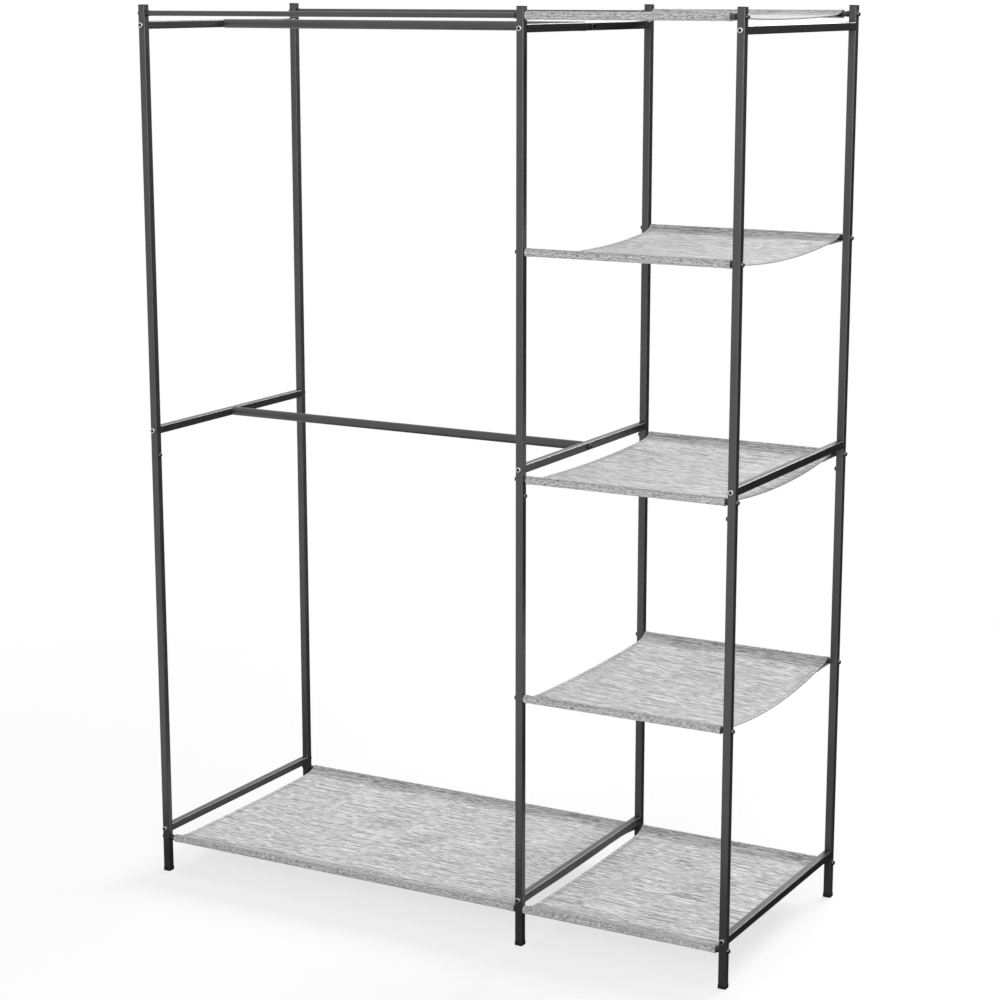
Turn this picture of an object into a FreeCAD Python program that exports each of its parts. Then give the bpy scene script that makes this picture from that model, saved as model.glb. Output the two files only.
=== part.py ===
"""Open frame wardrobe: three square-tube side frames, cross rods, two hanging rails and six cloth slings.

+X runs to the right across the front, +Y to the rear and +Z up, in millimetres. The origin lies on the
floor under the middle of the wardrobe. The wide bay, with the two hanging rails, is on the left, and the
narrow bay, with a cloth sling on each of its five levels, is on the right.
"""
import FreeCAD, Part
import math
import os
import Sketcher

# Driving dimensions: name, millimetres, meaning
SIZES = [
    ("overall_height", 1740, "floor to the top of the upright caps"),
    ("wide_bay", 820, "left to middle uprights, between centres"),
    ("narrow_bay", 418, "middle to right uprights, between centres"),
    ("depth_pitch", 515, "front to rear uprights, between centres"),
    ("tube_side", 15, "outside of an upright's square tube"),
    ("tube_wall", 1.2, "wall of an upright's tube"),
    ("tube_corner", 2, "outer corner radius of an upright's tube"),
    ("tube_bore_corner", 0.8, "inner corner radius of an upright's tube"),
    ("rail_side", 15, "outside of a side rail's square tube"),
    ("rail_wall", 1.2, "wall of a side rail's tube"),
    ("rail_corner", 2, "outer corner radius of a side rail's tube"),
    ("rail_bore_corner", 0.8, "inner corner radius of a side rail's tube"),
    ("rod_low", 72, "floor to the axis of the lowest cross rods"),
    ("rod_top_drop", 16.3, "axis of the top cross rods below the overall height"),
    ("rail_rise", 19, "low and middle side rails' axis above the cross rods there"),
    ("rail_drop", 22.3, "top side rails' axis below the top cross rods"),
    ("rod_diameter", 10, "outside of a cross rod"),
    ("rod_wall", 1, "wall of a cross rod"),
    ("hanging_diameter", 17.5, "outside of a hanging rail"),
    ("hanging_wall", 1.2, "wall of a hanging rail"),
    ("collar_length", 6, "collar of a rod end plug, between upright and rod"),
    ("collar_diameter", 11, "outside of a rod end plug's collar"),
    ("plug_spigot", 18, "length of a rod end plug inside the rod"),
    ("insert_length", 20, "length of a threaded insert in a rail's end"),
    ("fit_gap", 0.15, "gap on each side of a sliding or threaded fit"),
    ("seam_drop", 48, "joint of an upright's two lengths below the middle cross rods"),
    ("joiner_below", 50, "length of an upright joiner below the joint"),
    ("joiner_clear", 12, "joiner's upper end below the axis of the middle cross rods"),
    ("joiner_wall", 1.5, "wall of an upright joiner"),
    ("cap_height", 2, "top cap above the end of its tube"),
    ("cap_edge", 0.6, "rounding of a top cap's upper edge"),
    ("cap_clear", 2, "top cap's spigot above the screw of the top cross rods"),
    ("foot_height", 8, "foot below the end of its tube"),
    ("foot_margin", 0.7, "foot beyond each face of its tube"),
    ("foot_edge", 1.2, "rounding of a foot's lower edge"),
    ("foot_spigot", 16, "length of a foot inside its tube"),
    ("rail_screw_shank", 6, "shank of a side rail or hanging rail screw"),
    ("rail_screw_head", 10.5, "head of a side rail or hanging rail screw"),
    ("rail_screw_rise", 4.6, "height of that head"),
    ("rail_screw_round", 1.4, "rounding of that head's edge"),
    ("rail_screw_socket", 5, "hexagon socket in that head, across flats"),
    ("rail_screw_reach", 14, "length of that screw beyond the tube that it passes through"),
    ("rod_screw_shank", 5, "shank of a cross rod screw or stud"),
    ("rod_screw_head", 9.5, "head of a cross rod screw"),
    ("rod_screw_rise", 5.2, "height of that head"),
    ("rod_screw_round", 4.2, "rounding of that head's edge"),
    ("rod_screw_socket", 3, "hexagon socket in that head, across flats"),
    ("rod_screw_reach", 15, "length of that screw beyond the upright"),
    ("joiner_screw_shank", 4, "shank of a joiner screw"),
    ("joiner_screw_head", 9.5, "head of a joiner screw"),
    ("joiner_screw_rise", 5, "height of that head"),
    ("joiner_screw_round", 4.2, "rounding of that head's edge"),
    ("joiner_screw_socket", 3, "hexagon socket in that head, across flats"),
    ("joiner_screw_reach", 1.5, "joiner screw's end inside the joiner's wall"),
    ("cloth_thickness", 1.4, "cloth of a sling, and of its hems"),
    ("hem_gap", 0.15, "gap between the hem and the rod's collars, or the rod where it is wider"),
    ("web_drop", 1.5, "cloth between the hems below the rods' axes, where it leaves the hems"),
    ("web_pull", 4, "side edge of the cloth between the hems inside the hems' ends"),
    ("wide_sling_1_left_end", 12, "left end of the wide sling's hems from the upright's face"),
    ("wide_sling_1_right_end", 3, "right end of its hems from the upright's face"),
    ("wide_sling_1_left_sag", 4, "middle of its left edge below where the cloth leaves the hems"),
    ("wide_sling_1_right_sag", 5, "middle of its right edge below where the cloth leaves the hems"),
    ("narrow_sling_1_left_end", 1, "the same on the narrow bay's slings, lowest first"),
    ("narrow_sling_1_right_end", 7, "right end"),
    ("narrow_sling_1_left_sag", 4.5, "left edge"),
    ("narrow_sling_1_right_sag", 6, "right edge"),
    ("narrow_sling_2_left_end", 1, "left end"),
    ("narrow_sling_2_right_end", 5.5, "right end"),
    ("narrow_sling_2_left_sag", 6.5, "left edge"),
    ("narrow_sling_2_right_sag", 23.5, "right edge"),
    ("narrow_sling_3_left_end", 5, "left end"),
    ("narrow_sling_3_right_end", 5.5, "right end"),
    ("narrow_sling_3_left_sag", 7.5, "left edge"),
    ("narrow_sling_3_right_sag", 17, "right edge"),
    ("narrow_sling_4_left_end", 2, "left end"),
    ("narrow_sling_4_right_end", 4.5, "right end"),
    ("narrow_sling_4_left_sag", 16, "left edge"),
    ("narrow_sling_4_right_sag", 15, "right edge"),
    ("narrow_sling_5_left_end", 1, "left end"),
    ("narrow_sling_5_right_end", 13, "right end"),
    ("narrow_sling_5_left_sag", 4, "left edge"),
    ("narrow_sling_5_right_sag", 5, "right edge"),
]

# Places worked out from the driving dimensions: name, formula
PLACES = [
    ("left_x", "-(Sizes.wide_bay + Sizes.narrow_bay) / 2"),
    ("middle_x", "(Sizes.wide_bay - Sizes.narrow_bay) / 2"),
    ("right_x", "(Sizes.wide_bay + Sizes.narrow_bay) / 2"),
    ("wide_x", "-Sizes.narrow_bay / 2"),
    ("narrow_x", "Sizes.wide_bay / 2"),
    ("front_y", "-Sizes.depth_pitch / 2"),
    ("rear_y", "Sizes.depth_pitch / 2"),
    ("rod_5", "Sizes.overall_height - Sizes.rod_top_drop"),
    ("rod_pitch", "(rod_5 - Sizes.rod_low) / 4"),
    ("rod_1", "Sizes.rod_low"),
    ("rod_2", "Sizes.rod_low + rod_pitch"),
    ("rod_3", "Sizes.rod_low + 2 * rod_pitch"),
    ("rod_4", "Sizes.rod_low + 3 * rod_pitch"),
    ("rail_low", "rod_1 + Sizes.rail_rise"),
    ("rail_mid", "rod_3 + Sizes.rail_rise"),
    ("rail_top", "rod_5 - Sizes.rail_drop"),
    ("seam", "rod_3 - Sizes.seam_drop"),
    ("joiner_top", "rod_3 - Sizes.joiner_clear"),
    ("joiner_screw", "(seam + joiner_top) / 2"),
    ("tube_top", "Sizes.overall_height - Sizes.cap_height"),
    ("tube_bore", "Sizes.tube_side - 2 * Sizes.tube_wall"),
    ("tube_spigot", "tube_bore - 2 * Sizes.fit_gap"),
    ("rail_bore", "Sizes.rail_side - 2 * Sizes.rail_wall"),
    ("rail_length", "Sizes.depth_pitch - Sizes.tube_side"),
    ("rod_bore", "Sizes.rod_diameter - 2 * Sizes.rod_wall"),
    ("hanging_bore", "Sizes.hanging_diameter - 2 * Sizes.hanging_wall"),
    ("hanging_length", "Sizes.wide_bay - Sizes.rail_side"),
    ("wide_rod_length", "Sizes.wide_bay - Sizes.tube_side - 2 * Sizes.collar_length"),
    ("narrow_rod_length", "Sizes.narrow_bay - Sizes.tube_side - 2 * Sizes.collar_length"),
    ("hem_bore", "max(Sizes.rod_diameter; Sizes.collar_diameter) + 2 * Sizes.hem_gap"),
    ("hem_outside", "hem_bore + 2 * Sizes.cloth_thickness"),
    ("rail_screw_hole", "Sizes.rail_screw_shank + 2 * Sizes.fit_gap"),
    ("rod_screw_hole", "Sizes.rod_screw_shank + 2 * Sizes.fit_gap"),
    ("joiner_screw_hole", "Sizes.joiner_screw_shank + 2 * Sizes.fit_gap"),
]

FRAMES = ["left", "middle", "right"]
ROWS = ["front", "rear"]
RAILS = ["low", "mid", "top"]
HEX_SIDES = 6
HEX_CORNER = 3 ** -0.5  # circumradius of a hexagon over its width across flats
ROUND_LIMIT = 0.9       # most that a screw head's rounding takes of its height or radius
SOCKET_DEPTH = 0.7      # depth of a hexagon socket over the head's height

X_AXIS = FreeCAD.Vector(1, 0, 0)
Y_AXIS = FreeCAD.Vector(0, 1, 0)
Z_AXIS = FreeCAD.Vector(0, 0, 1)
# Turns that point a piece's own +Z along an axis of the wardrobe
TO_RIGHT = FreeCAD.Rotation(Y_AXIS, 90)
TO_LEFT = FreeCAD.Rotation(Y_AXIS, -90)
TO_FRONT = FreeCAD.Rotation(X_AXIS, 90)
TO_REAR = FreeCAD.Rotation(X_AXIS, -90)
UPRIGHT = FreeCAD.Rotation()
TURNED = FreeCAD.Rotation(Z_AXIS, 180)
ORIGIN = ("0", "0", "0")

doc = FreeCAD.newDocument("OpenFrameWardrobe")
sizes = doc.addObject("Spreadsheet::Sheet", "Sizes")
places = doc.addObject("Spreadsheet::Sheet", "Places")
sub_parts = []


def fill_sheets():
    """Writes the driving dimensions, then the places that follow from them."""
    for row, (alias, value, meaning) in enumerate(SIZES, start=1):
        sizes.set(f"A{row}", meaning)
        sizes.set(f"B{row}", str(value))
        sizes.setAlias(f"B{row}", alias)
    doc.recompute()
    for row, (alias, formula) in enumerate(PLACES, start=1):
        places.set(f"B{row}", "=" + formula)
        places.setAlias(f"B{row}", alias)
    doc.recompute()


def value(formula):
    """The number that a formula of sheet cells gives now, for a sketch's first guess."""
    return float(places.evalExpression(formula))


def new_body(name, x="0", y="0", z="0", is_sub_part=True):
    """A body whose place follows three formulas."""
    body = doc.addObject("PartDesign::Body", name)
    body.Label = name
    for axis, formula in zip("xyz", (x, y, z)):
        body.setExpression(f"Placement.Base.{axis}", formula)
    if is_sub_part:
        sub_parts.append(body)
    return body


def new_sketch(body, name, plane, offset="0"):
    """A sketch on one of the body's own planes, moved along the plane's normal."""
    sketch = body.newObject("Sketcher::SketchObject", name)
    support = [item for item in body.Origin.OriginFeatures if item.Role == plane]
    sketch.AttachmentSupport = [(support[0], "")]
    sketch.MapMode = "FlatFace"
    sketch.setExpression("AttachmentOffset.Base.z", offset)
    return sketch


def bind(sketch, constraint, formula):
    """Adds a sized constraint and ties it to a formula."""
    index = sketch.addConstraint(constraint)
    sketch.setExpression(f"Constraints[{index}]", formula)


def add_circle(sketch, diameter):
    """A circle about the sketch's origin."""
    circle = Part.Circle(FreeCAD.Vector(), Z_AXIS, value(diameter) / 2)
    index = sketch.addGeometry(circle)
    sketch.addConstraint(Sketcher.Constraint("Coincident", index, 3, -1, 1))
    bind(sketch, Sketcher.Constraint("Diameter", index, value(diameter)), diameter)


def add_rounded_square(sketch, side, corner):
    """A square with round corners about the sketch's origin: four lines and four tangent arcs."""
    half = value(side) / 2
    radius = value(corner)
    flat = half - radius
    lines = []
    arcs = []
    for turn in range(4):
        spin = FreeCAD.Rotation(Z_AXIS, 90 * turn)
        start = spin.multVec(FreeCAD.Vector(half, -flat, 0))
        end = spin.multVec(FreeCAD.Vector(half, flat, 0))
        centre = spin.multVec(FreeCAD.Vector(flat, flat, 0))
        circle = Part.Circle(centre, Z_AXIS, radius)
        quarter = Part.ArcOfCircle(circle, math.radians(90 * turn), math.radians(90 * turn + 90))
        lines.append(sketch.addGeometry(Part.LineSegment(start, end)))
        arcs.append(sketch.addGeometry(quarter))
    for turn in range(4):
        following = (turn + 1) % 4
        sketch.addConstraint(Sketcher.Constraint("Tangent", lines[turn], 2, arcs[turn], 1))
        sketch.addConstraint(Sketcher.Constraint("Tangent", arcs[turn], 2, lines[following], 1))
        direction = "Vertical" if turn % 2 == 0 else "Horizontal"
        sketch.addConstraint(Sketcher.Constraint(direction, lines[turn]))
    for arc in arcs[1:]:
        sketch.addConstraint(Sketcher.Constraint("Equal", arcs[0], arc))
    sketch.addConstraint(Sketcher.Constraint("Symmetric", arcs[0], 3, arcs[2], 3, -1, 1))
    bind(sketch, Sketcher.Constraint("Radius", arcs[0], radius), corner)
    bind(sketch, Sketcher.Constraint("DistanceX", lines[2], 1, lines[0], 1, 2 * half), side)
    bind(sketch, Sketcher.Constraint("DistanceY", lines[3], 1, lines[1], 1, 2 * half), side)


def add_pad(body, sketch, length, centred=False):
    """Pads a sketch along its normal, or both ways from it."""
    pad = body.newObject("PartDesign::Pad", sketch.Name + "_pad")
    pad.Profile = sketch
    pad.SideType = "Symmetric" if centred else "One side"
    pad.setExpression("Length", length)
    return pad


def add_cylinder(body, name, kind, diameter, length, place, turn):
    """Adds or cuts a cylinder that starts at a place, three formulas, and runs along the turned +Z."""
    cylinder = body.newObject(f"PartDesign::{kind}Cylinder", name)
    cylinder.Placement = FreeCAD.Placement(FreeCAD.Vector(), turn)
    cylinder.setExpression("Radius", f"({diameter}) / 2")
    cylinder.setExpression("Height", length)
    for axis, formula in zip("xyz", place):
        cylinder.setExpression(f"Placement.Base.{axis}", formula)
    return cylinder


def round_edges(body, feature, height, radius):
    """Rounds the edges that lie at one height of a feature."""
    doc.recompute()
    level = value(height)
    box_of = [(f"Edge{number}", edge.BoundBox) for number, edge in enumerate(feature.Shape.Edges, start=1)]
    near = 1e-6
    names = [name for name, box in box_of if abs(box.ZMin - level) < near and abs(box.ZMax - level) < near]
    fillet = body.newObject("PartDesign::Fillet", feature.Name + "_round")
    fillet.Base = (feature, names)
    fillet.setExpression("Radius", radius)
    return fillet


def scatter(name, template, spots):
    """A sub-part of separate copies of one template, each at a place, three formulas, and a turn."""
    copies = []
    for number, (place, turn) in enumerate(spots, start=1):
        copy = doc.addObject("App::Link", f"{name}_{number}")
        copy.LinkedObject = template
        copy.LinkTransform = False
        copy.Placement = FreeCAD.Placement(FreeCAD.Vector(), turn)
        for axis, formula in zip("xyz", place):
            copy.setExpression(f"Placement.Base.{axis}", formula)
        copies.append(copy)
    group = doc.addObject("Part::Compound", name)
    group.Label = name
    group.Links = copies
    sub_parts.append(group)


def frame_x(frame):
    return f"Places.{frame}_x"


def row_y(row):
    return f"Places.{row}_y"


def rod_levels(frame):
    """Levels at which cross rods are fixed to a side frame, numbered from the lowest."""
    return [1, 5] if frame == "left" else [1, 2, 3, 4, 5]


def make_upright(frame, row, part, bottom, top):
    """One length of an upright: a square tube with its screw holes."""
    name = f"upright_{frame}_{row}_{part}"
    body = new_body(name, frame_x(frame), row_y(row))
    sketch = new_sketch(body, name + "_section", "XY_Plane", bottom)
    add_rounded_square(sketch, "Sizes.tube_side", "Sizes.tube_corner")
    add_rounded_square(sketch, "Places.tube_bore", "Sizes.tube_bore_corner")
    add_pad(body, sketch, f"{top} - {bottom}")
    lower = part == "lower"
    half_tube = "Sizes.tube_side / 2"
    for rail in ["low"] if lower else ["mid", "top"]:
        start = ("0", half_tube, f"Places.rail_{rail}")
        add_cylinder(body, f"{name}_rail_hole_{rail}", "Subtractive", "Places.rail_screw_hole",
                     "Sizes.tube_side", start, TO_FRONT)
    for level in rod_levels(frame):
        if (level <= 2) == lower:
            start = (f"-{half_tube}", "0", f"Places.rod_{level}")
            add_cylinder(body, f"{name}_rod_hole_{level}", "Subtractive", "Places.rod_screw_hole",
                         "Sizes.tube_side", start, TO_RIGHT)
    if not lower:
        inward = TO_LEFT if frame == "right" else TO_RIGHT
        add_cylinder(body, f"{name}_joiner_hole", "Subtractive", "Places.joiner_screw_hole",
                     half_tube, ("0", "0", "Places.joiner_screw"), inward)


def make_side_rail(frame, rail):
    """A square tube from a front upright to the rear one, drilled where it carries a hanging rail."""
    name = f"side_rail_{frame}_{rail}"
    body = new_body(name, frame_x(frame), "0", f"Places.rail_{rail}")
    sketch = new_sketch(body, name + "_section", "XZ_Plane")
    add_rounded_square(sketch, "Sizes.rail_side", "Sizes.rail_corner")
    add_rounded_square(sketch, "Places.rail_bore", "Sizes.rail_bore_corner")
    add_pad(body, sketch, "Places.rail_length", centred=True)
    if frame != "right" and rail != "low":
        add_cylinder(body, name + "_hole", "Subtractive", "Places.rail_screw_hole",
                     "Sizes.rail_side", ("-Sizes.rail_side / 2", "0", "0"), TO_RIGHT)


def make_round_tube(name, place, outside, bore, length):
    """A round tube along X, centred on its place."""
    body = new_body(name, *place)
    sketch = new_sketch(body, name + "_section", "YZ_Plane")
    add_circle(sketch, outside)
    add_circle(sketch, bore)
    add_pad(body, sketch, length, centred=True)


def add_web_section(body, name, offset, sag):
    """Section of a sling's cloth between its hems: two concentric arcs that leave the hems a little below
    the rods' axes and hang lower by the sag at the middle."""
    sketch = new_sketch(body, name, "YZ_Plane", offset)
    half_span = "Sizes.depth_pitch / 2"
    radius = f"((Sizes.depth_pitch ^ 2 / 4 + {sag} ^ 2) / (2 * {sag}))"
    rise = f"({radius} - {sag} - Sizes.web_drop)"
    centre = FreeCAD.Vector(0, value(rise), 0)
    arcs = []
    ends = []
    for side in ["-", "+"]:
        bend = f"({radius} {side} Sizes.cloth_thickness / 2)"
        reach = value(half_span)
        drop = (value(bend) ** 2 - reach ** 2) ** 0.5
        left = FreeCAD.Vector(-reach, centre.y - drop, 0)
        right = FreeCAD.Vector(reach, centre.y - drop, 0)
        lowest = FreeCAD.Vector(0, centre.y - value(bend), 0)
        arcs.append(sketch.addGeometry(Part.Arc(left, lowest, right)))
        ends.append((left, right))
        bind(sketch, Sketcher.Constraint("Radius", arcs[-1], value(bend)), bend)
    upper, lower = arcs
    for point, side, sign in [(1, 0, -1), (2, 1, 1)]:
        line = sketch.addGeometry(Part.LineSegment(ends[0][side], ends[1][side]))
        sketch.addConstraint(Sketcher.Constraint("Coincident", line, 1, upper, point))
        sketch.addConstraint(Sketcher.Constraint("Coincident", line, 2, lower, point))
        sketch.addConstraint(Sketcher.Constraint("Vertical", line))
        reach = Sketcher.Constraint("DistanceX", -1, 1, line, 1, sign * value(half_span))
        bind(sketch, reach, half_span if sign > 0 else "-" + half_span)
    sketch.addConstraint(Sketcher.Constraint("Coincident", upper, 3, lower, 3))
    sketch.addConstraint(Sketcher.Constraint("PointOnObject", upper, 3, -2))
    bind(sketch, Sketcher.Constraint("DistanceY", -1, 1, upper, 3, value(rise)), rise)
    return sketch


def make_sling(bay, level, first, last):
    """A cloth sling: a hem round the front rod and one round the rear rod, and the sagging cloth between.

    It hangs between the first and the last of two side frames, from x = 0, the left end of its hems."""
    name = f"{bay}_sling_{level}"
    left_end = f"({frame_x(first)} + Sizes.tube_side / 2 + Sizes.{name}_left_end)"
    right_end = f"({frame_x(last)} - Sizes.tube_side / 2 - Sizes.{name}_right_end)"
    width = f"({right_end} - {left_end})"
    body = new_body(name, left_end, "0", f"Places.rod_{level}")
    left = add_web_section(body, name + "_left", "Sizes.web_pull", f"Sizes.{name}_left_sag")
    right = add_web_section(body, name + "_right", f"{width} - Sizes.web_pull", f"Sizes.{name}_right_sag")
    web = body.newObject("PartDesign::AdditiveLoft", name + "_web")
    web.Profile = left
    web.Sections = [right]
    web.Ruled = True
    for kind, diameter in [("Additive", "Places.hem_outside"), ("Subtractive", "Places.hem_bore")]:
        for row in ROWS:
            start = ("0", row_y(row), "0")
            add_cylinder(body, f"{name}_{kind}_{row}", kind, diameter, width, start, TO_RIGHT)


def make_foot(frame, row):
    """A moulded foot that closes an upright's lower end."""
    name = f"foot_{frame}_{row}"
    body = new_body(name, frame_x(frame), row_y(row))
    sole = new_sketch(body, name + "_sole", "XY_Plane")
    add_rounded_square(sole, "(Sizes.tube_side + 2 * Sizes.foot_margin)",
                       "(Sizes.tube_corner + Sizes.foot_margin)")
    pad = add_pad(body, sole, "Sizes.foot_height")
    round_edges(body, pad, "0", "Sizes.foot_edge")
    spigot = new_sketch(body, name + "_spigot", "XY_Plane", "Sizes.foot_height")
    add_rounded_square(spigot, "Places.tube_spigot", "Sizes.tube_bore_corner")
    add_pad(body, spigot, "Sizes.foot_spigot")


def make_top_cap():
    """Template of a moulded cap that closes an upright's upper end, its seat at z = 0."""
    body = new_body("top_cap_template", is_sub_part=False)
    plate = new_sketch(body, "top_cap_plate", "XY_Plane")
    add_rounded_square(plate, "Sizes.tube_side", "Sizes.tube_corner")
    pad = add_pad(body, plate, "Sizes.cap_height")
    round_edges(body, pad, "Sizes.cap_height", "Sizes.cap_edge")
    length = "(Sizes.rod_top_drop - Sizes.cap_height - Sizes.rod_screw_shank / 2 - Sizes.cap_clear)"
    spigot = new_sketch(body, "top_cap_spigot", "XY_Plane", "-" + length)
    add_rounded_square(spigot, "Places.tube_spigot", "Sizes.tube_bore_corner")
    add_pad(body, spigot, length)
    return body


def make_joiner():
    """Template of the short square tube inside the two lengths of an upright, with its tapped hole at +X."""
    body = new_body("joiner_template", is_sub_part=False)
    sketch = new_sketch(body, "joiner_section", "XY_Plane", "Places.seam - Sizes.joiner_below")
    add_rounded_square(sketch, "Places.tube_spigot", "Sizes.tube_bore_corner")
    add_rounded_square(sketch, "(Places.tube_spigot - 2 * Sizes.joiner_wall)", "Sizes.tube_bore_corner")
    add_pad(body, sketch, "Places.joiner_top - Places.seam + Sizes.joiner_below")
    add_cylinder(body, "joiner_hole", "Subtractive", "Places.joiner_screw_hole",
                 "Sizes.tube_side / 2", ("0", "0", "Places.joiner_screw"), TO_RIGHT)
    return body


def make_round_insert(name, outside, length, hole):
    """Template of a round threaded insert: it starts at z = 0 and runs along +Z."""
    body = new_body(name, is_sub_part=False)
    add_cylinder(body, name + "_outside", "Additive", outside, length, ORIGIN, UPRIGHT)
    add_cylinder(body, name + "_hole", "Subtractive", hole, length, ORIGIN, UPRIGHT)
    return body


def make_rod_plug():
    """Template of a cross rod's end plug: its collar starts at z = 0 and its spigot runs on along +Z."""
    body = new_body("rod_plug_template", is_sub_part=False)
    length = "Sizes.collar_length + Sizes.plug_spigot"
    spigot = "Places.rod_bore - 2 * Sizes.fit_gap"
    add_cylinder(body, "rod_plug_spigot", "Additive", spigot, length, ORIGIN, UPRIGHT)
    add_cylinder(body, "rod_plug_collar", "Additive", "Sizes.collar_diameter", "Sizes.collar_length",
                 ORIGIN, UPRIGHT)
    add_cylinder(body, "rod_plug_hole", "Subtractive", "Places.rod_screw_hole", length, ORIGIN, UPRIGHT)
    return body


def make_square_insert():
    """Template of the threaded insert in a side rail's end: it starts at z = 0 and runs along +Z."""
    body = new_body("square_insert_template", is_sub_part=False)
    sketch = new_sketch(body, "square_insert_section", "XY_Plane")
    add_rounded_square(sketch, "(Places.rail_bore - 2 * Sizes.fit_gap)", "Sizes.rail_bore_corner")
    add_circle(sketch, "Places.rail_screw_hole")
    add_pad(body, sketch, "Sizes.insert_length")
    return body


def make_screw(name, size, length):
    """Template of a screw: its round head seats at z = 0 and rises along +Z, its shank runs down."""
    body = new_body(name, is_sub_part=False)
    rise = f"Sizes.{size}_rise"
    head = add_cylinder(body, name + "_head", "Additive", f"Sizes.{size}_head", rise, ORIGIN, UPRIGHT)
    limit = f"{ROUND_LIMIT} * min({rise}; Sizes.{size}_head / 2)"
    round_edges(body, head, rise, f"min(Sizes.{size}_round; {limit})")
    start = ("0", "0", f"-({length})")
    add_cylinder(body, name + "_shank", "Additive", f"Sizes.{size}_shank", length, start, UPRIGHT)
    socket = body.newObject("PartDesign::SubtractivePrism", name + "_socket")
    socket.Polygon = HEX_SIDES
    socket.setExpression("Circumradius", f"Sizes.{size}_socket * {HEX_CORNER}")
    socket.setExpression("Height", f"{rise} * {SOCKET_DEPTH}")
    socket.setExpression("Placement.Base.z", f"{rise} * (1 - {SOCKET_DEPTH})")
    return body


def make_stud():
    """Template of the headless stud that joins the rods on both sides of a middle upright, along +Z."""
    body = new_body("stud_template", is_sub_part=False)
    length = "(Sizes.tube_side + 2 * Sizes.rod_screw_reach)"
    start = ("0", "0", f"-{length} / 2")
    add_cylinder(body, "stud_shank", "Additive", "Sizes.rod_screw_shank", length, start, UPRIGHT)
    return body


def make_frames():
    """The six uprights, with their feet, caps and joiners, and the nine side rails between them."""
    for frame in FRAMES:
        for row in ROWS:
            make_upright(frame, row, "lower", "Sizes.foot_height", "Places.seam")
            make_upright(frame, row, "upper", "Places.seam", "Places.tube_top")
            make_foot(frame, row)
        for rail in RAILS:
            make_side_rail(frame, rail)
    corners = [(frame, row) for frame in FRAMES for row in ROWS]
    cap_spots = [((frame_x(frame), row_y(row), "Places.tube_top"), UPRIGHT) for frame, row in corners]
    scatter("top_caps", make_top_cap(), cap_spots)
    joiner_spots = []
    screw_spots = []
    for frame, row in corners:
        side, facing, turn = ("-", TO_LEFT, TURNED) if frame == "right" else ("+", TO_RIGHT, UPRIGHT)
        face = f"{frame_x(frame)} {side} Sizes.tube_side / 2"
        joiner_spots.append(((frame_x(frame), row_y(row), "0"), turn))
        screw_spots.append(((face, row_y(row), "Places.joiner_screw"), facing))
    scatter("upright_joiners", make_joiner(), joiner_spots)
    length = "(Sizes.tube_wall + Sizes.fit_gap + Sizes.joiner_wall + Sizes.joiner_screw_reach)"
    scatter("joiner_screws", make_screw("joiner_screw_template", "joiner_screw", length), screw_spots)


def fasten_side_rails():
    """An insert in each end of a side rail, and a screw through the upright into it."""
    insert_spots = []
    screw_spots = []
    ends = [("front", TO_FRONT, TO_REAR, "-"), ("rear", TO_REAR, TO_FRONT, "+")]
    for frame in FRAMES:
        for rail in RAILS:
            for row, outward, inward, side in ends:
                outer_face = f"{row_y(row)} {side} Sizes.tube_side / 2"
                inner_face = f"{row_y(row)} - ({side}1) * Sizes.tube_side / 2"
                level = f"Places.rail_{rail}"
                screw_spots.append(((frame_x(frame), outer_face, level), outward))
                insert_spots.append(((frame_x(frame), inner_face, level), inward))
    scatter("side_rail_inserts", make_square_insert(), insert_spots)
    length = "(Sizes.tube_side + Sizes.rail_screw_reach)"
    scatter("side_rail_screws", make_screw("side_rail_screw_template", "rail_screw", length), screw_spots)


def hang_rails():
    """The two hanging rails of the wide bay, each screwed on through the side rails at its ends."""
    insert_spots = []
    screw_spots = []
    ends = [("left", TO_LEFT, TO_RIGHT, "-"), ("middle", TO_RIGHT, TO_LEFT, "+")]
    for name, rail in [("hanging_rail_lower", "mid"), ("hanging_rail_upper", "top")]:
        level = f"Places.rail_{rail}"
        make_round_tube(name, ("Places.wide_x", "0", level), "Sizes.hanging_diameter", "Places.hanging_bore",
                        "Places.hanging_length")
        for frame, outward, inward, side in ends:
            outer_face = f"{frame_x(frame)} {side} Sizes.rail_side / 2"
            inner_face = f"{frame_x(frame)} - ({side}1) * Sizes.rail_side / 2"
            screw_spots.append(((outer_face, "0", level), outward))
            insert_spots.append(((inner_face, "0", level), inward))
    insert = make_round_insert("round_insert_template", "Places.hanging_bore - 2 * Sizes.fit_gap",
                               "Sizes.insert_length", "Places.rail_screw_hole")
    scatter("hanging_rail_inserts", insert, insert_spots)
    length = "(Sizes.rail_side + Sizes.rail_screw_reach)"
    screw = make_screw("hanging_rail_screw_template", "rail_screw", length)
    scatter("hanging_rail_screws", screw, screw_spots)


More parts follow.
